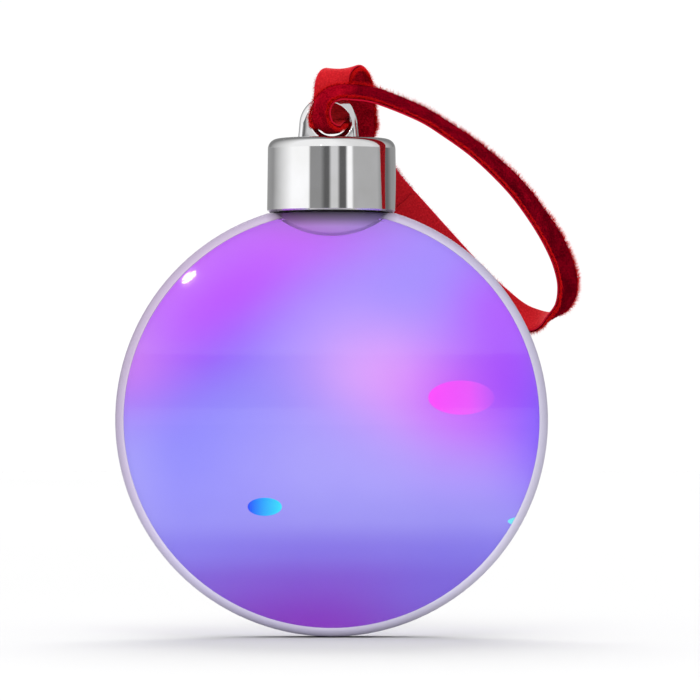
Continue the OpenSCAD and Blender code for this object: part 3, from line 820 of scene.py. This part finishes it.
def make_eye():
    """Arch with full, rounded edges and a round hole."""
    round_r = 1.0 * MM
    sink = 1.2 * MM           # how far the feet run into the cap
    arch_r, hole_r, foot_half = 5.4 * MM, 3.3 * MM, 5.65 * MM
    arch_x, arch_z = -0.6 * MM, eye_hi.z - arch_r
    arc_steps, hole_steps = 64, 96
    outline = [(arch_x - foot_half, CAP_TOP - sink), (arch_x - foot_half, CAP_TOP)]
    outline += [
        (arch_x - arch_r * math.cos(math.pi * k / arc_steps),
         arch_z + arch_r * math.sin(math.pi * k / arc_steps))
        for k in range(arc_steps + 1)
    ]
    outline += [(arch_x + foot_half, CAP_TOP), (arch_x + foot_half, CAP_TOP - sink)]
    hole = [
        (hole_r * math.cos(math.tau * k / hole_steps), hole_r * math.sin(math.tau * k / hole_steps))
        for k in range(hole_steps)
    ]
    curve = bpy.data.curves.new("eye_outline", "CURVE")
    curve.dimensions = "2D"
    curve.fill_mode = "BOTH"
    curve.extrude = EYE_T / 2 - round_r
    curve.bevel_depth = round_r
    curve.bevel_resolution = 8
    curve.offset = -round_r
    for ring in (outline, hole):
        spline = curve.splines.new("POLY")
        spline.points.add(len(ring) - 1)
        for point, (x, y) in zip(spline.points, ring):
            point.co = (x, y, 0, 1)
        spline.use_cyclic_u = True
    drawn = bpy.data.objects.new("eye_outline", curve)
    bpy.context.scene.collection.objects.link(drawn)
    bpy.context.view_layer.update()
    mesh = bpy.data.meshes.new_from_object(drawn.evaluated_get(bpy.context.evaluated_depsgraph_get()))
    bpy.data.objects.remove(drawn)
    mesh.transform(Matrix.Rotation(math.radians(90), 4, "X"))
    mesh.materials.clear()
    mesh.materials.append(CHROME)
    made = bpy.data.objects.new("rounded_eye", mesh)
    bpy.context.scene.collection.objects.link(made)
    bm = bmesh.new()
    bm.from_mesh(mesh)
    bmesh.ops.remove_doubles(bm, verts=bm.verts, dist=0.002 * MM)
    bmesh.ops.recalc_face_normals(bm, faces=bm.faces)
    bm.to_mesh(mesh)
    bm.free()
    for polygon in mesh.polygons:
        polygon.use_smooth = True
    mesh.set_sharp_from_angle(angle=math.radians(50))
    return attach(made, "cap")


rounded_eye = make_eye()
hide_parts("hanging_eye")


# ------------------------------------------------------------------ stage: floor, cards and lights

RING_R = 1.9              # distance of the cards from the object
FLOOR_R = 6.0
FLOOR_GREY = 196
CHROME_GAIN = 0.68        # share of a card's grey that comes back from the chrome
LOW_EDGE, MIDDLE_EDGE = 0.5, 7      # elevations of the ring of cards, in degrees; the dome is above


def paper(name, colour):
    graph = Graph(name)
    cloud = graph.noise(graph.place(), 0.7, 2.0)
    soft = tuple(c * 0.97 for c in colour[:3]) + (1.0,)
    graph.colour(graph.ramp(cloud, [(0.3, soft), (0.7, colour)]))
    graph.put(Roughness=1.0, Specular_IOR_Level=0.0)
    return graph.material


def stage_mesh(name, points, faces, material):
    mesh = bpy.data.meshes.new(name)
    mesh.from_pydata([tuple(p) for p in points], [], faces)
    mesh.materials.append(material)
    made = bpy.data.objects.new(name, mesh)
    bpy.context.scene.collection.objects.link(made)
    return made


def band_look(name, cards):
    """Grey levels of the cards round the studio, as they show in the chrome."""
    graph = Graph(name)
    xyz = graph.split(graph.place())
    turn = graph.math("ARCTAN2", xyz["X"], graph.math("MULTIPLY", xyz["Y"], -1.0))
    share = graph.spread(turn, -math.pi, math.pi)
    stops = [
        ((azimuth + 180) / 360, tuple(c / CHROME_GAIN for c in grey(level)[:3]) + (1.0,))
        for start, end, level in cards for azimuth in (start, end)
    ]
    shade = graph.ramp(share, stops)
    graph.link(shade, graph.shader.inputs["Emission Color"])
    graph.put(Base_Color=grey(0), Emission_Strength=1.0, Specular_IOR_Level=0.0)
    return graph.material


def band(name, low_deg, high_deg, look, radius=RING_R):
    """A ring of card round the object, between two elevations."""
    segments = 180
    points = []
    for k in range(segments):
        turn = math.tau * k / segments
        for lift in (low_deg, high_deg):
            points.append((
                radius * math.sin(turn), -radius * math.cos(turn),
                CAP_FOOT + radius * math.tan(math.radians(lift)),
            ))
    faces = [
        (2 * k, 2 * (k + 1) % (2 * segments), (2 * (k + 1) + 1) % (2 * segments), 2 * k + 1)
        for k in range(segments)
    ]
    return stage_mesh(name, points, faces, look)


def dome(name, low_deg, look, radius=2.3):
    """Part of a sphere over the object, from an elevation up."""
    wide, tall = 96, 24
    low = math.radians(low_deg)
    points = []
    for n in range(tall + 1):
        lift = low + (math.pi / 2 - low) * n / tall * 0.999
        for k in range(wide):
            turn = math.tau * k / wide
            points.append((
                radius * math.cos(lift) * math.sin(turn), -radius * math.cos(lift) * math.cos(turn),
                CAP_FOOT + radius * math.sin(lift),
            ))
    faces = [
        (n * wide + k, n * wide + (k + 1) % wide, (n + 1) * wide + (k + 1) % wide, (n + 1) * wide + k)
        for n in range(tall) for k in range(wide)
    ]
    return stage_mesh(name, points, faces, look)


# Cards round the object: where each starts and ends, in degrees to the right of the camera, and its
# grey. Between two cards the grey fades from one to the next.
LOW_CARDS = [
    (-180, -130, 140),    # grey board behind
    (-75, -42, 250),      # white card at the left
    (-38, -20, 140),      # grey board beside the camera
    (-12, -5, 90),        # dark gap
    (0, 10, 200),         # pale strip
    (15, 25, 90),         # dark gap
    (29, 36, 250),        # narrow white card
    (40, 90, 170),        # grey board at the right
    (110, 120, 100),      # dark gap
    (135, 180, 140),      # grey board behind
]
HIGH_CARDS = [
    (-180, -150, 120),    # behind
    (-80, 0, 240),        # over the left
    (40, 80, 220),        # over the right
    (150, 180, 120),      # behind
]

floor = stage_mesh(
    "floor",
    [(FLOOR_R * math.cos(k * math.tau / 64), FLOOR_R * math.sin(k * math.tau / 64), FLOOR_Z)
     for k in range(64)],
    [list(range(64))], paper("floor_paper", grey(FLOOR_GREY)),
)
floor.parent = frame["bodies"]["disc"]

low_band = band("studio_band", LOW_EDGE, MIDDLE_EDGE, band_look("studio_band", LOW_CARDS))
high_band = dome("studio_dome", MIDDLE_EDGE, band_look("studio_dome", HIGH_CARDS))
for reflected in (low_band, high_band):
    reflected.visible_camera = False
    reflected.visible_diffuse = False
    reflected.visible_shadow = False

world = bpy.data.worlds.new("studio")
world.use_nodes = True
world.node_tree.nodes["Background"].inputs["Color"].default_value = (1, 1, 1, 1)
world.node_tree.nodes["Background"].inputs["Strength"].default_value = 1.02
bpy.context.scene.world = world


def lamp(name, place, target, size, size_y, power, twist=0.0, shape="ELLIPSE"):
    data = bpy.data.lights.new(name, "AREA")
    data.shape = shape
    data.size = size
    data.size_y = size_y
    data.energy = power
    made = bpy.data.objects.new(name, data)
    bpy.context.scene.collection.objects.link(made)
    made.location = place
    made.rotation_mode = "QUATERNION"
    aim = (Vector(target) - Vector(place)).to_track_quat("-Z", "Y")
    made.rotation_quaternion = aim @ Matrix.Rotation(twist, 4, "Z").to_quaternion()
    return made


# The small lamp whose mirror image is the bright spot at the upper left of the window
SPOT_AT = DISC_R * 37.3 / 40
spot = Vector((-SPOT_AT * math.sqrt(0.5), LENS_FRONT, DISC_Z + SPOT_AT * math.sqrt(0.5)))
towards_lamp = Vector((-0.290, -0.912, 0.290))
SPOT_LONG, SPOT_WIDE, SPOT_POWER = 0.038, 0.012, 0.11
lamp("spot_lamp", spot + towards_lamp, spot, SPOT_LONG, SPOT_WIDE, SPOT_POWER, math.radians(45))


def sun(name, lean_deg, strength, spread_deg):
    """A soft lamp far away, leaning towards the front (positive) or the back."""
    data = bpy.data.lights.new(name, "SUN")
    data.energy = strength
    data.angle = math.radians(spread_deg)
    made = bpy.data.objects.new(name, data)
    bpy.context.scene.collection.objects.link(made)
    made.rotation_euler = (math.radians(lean_deg), 0, 0)


sun("sun_top", 0, 0.5, 30)
sun("sun_front", 48, 0.95, 30)
sun("sun_back", -52, 2.4, 36)
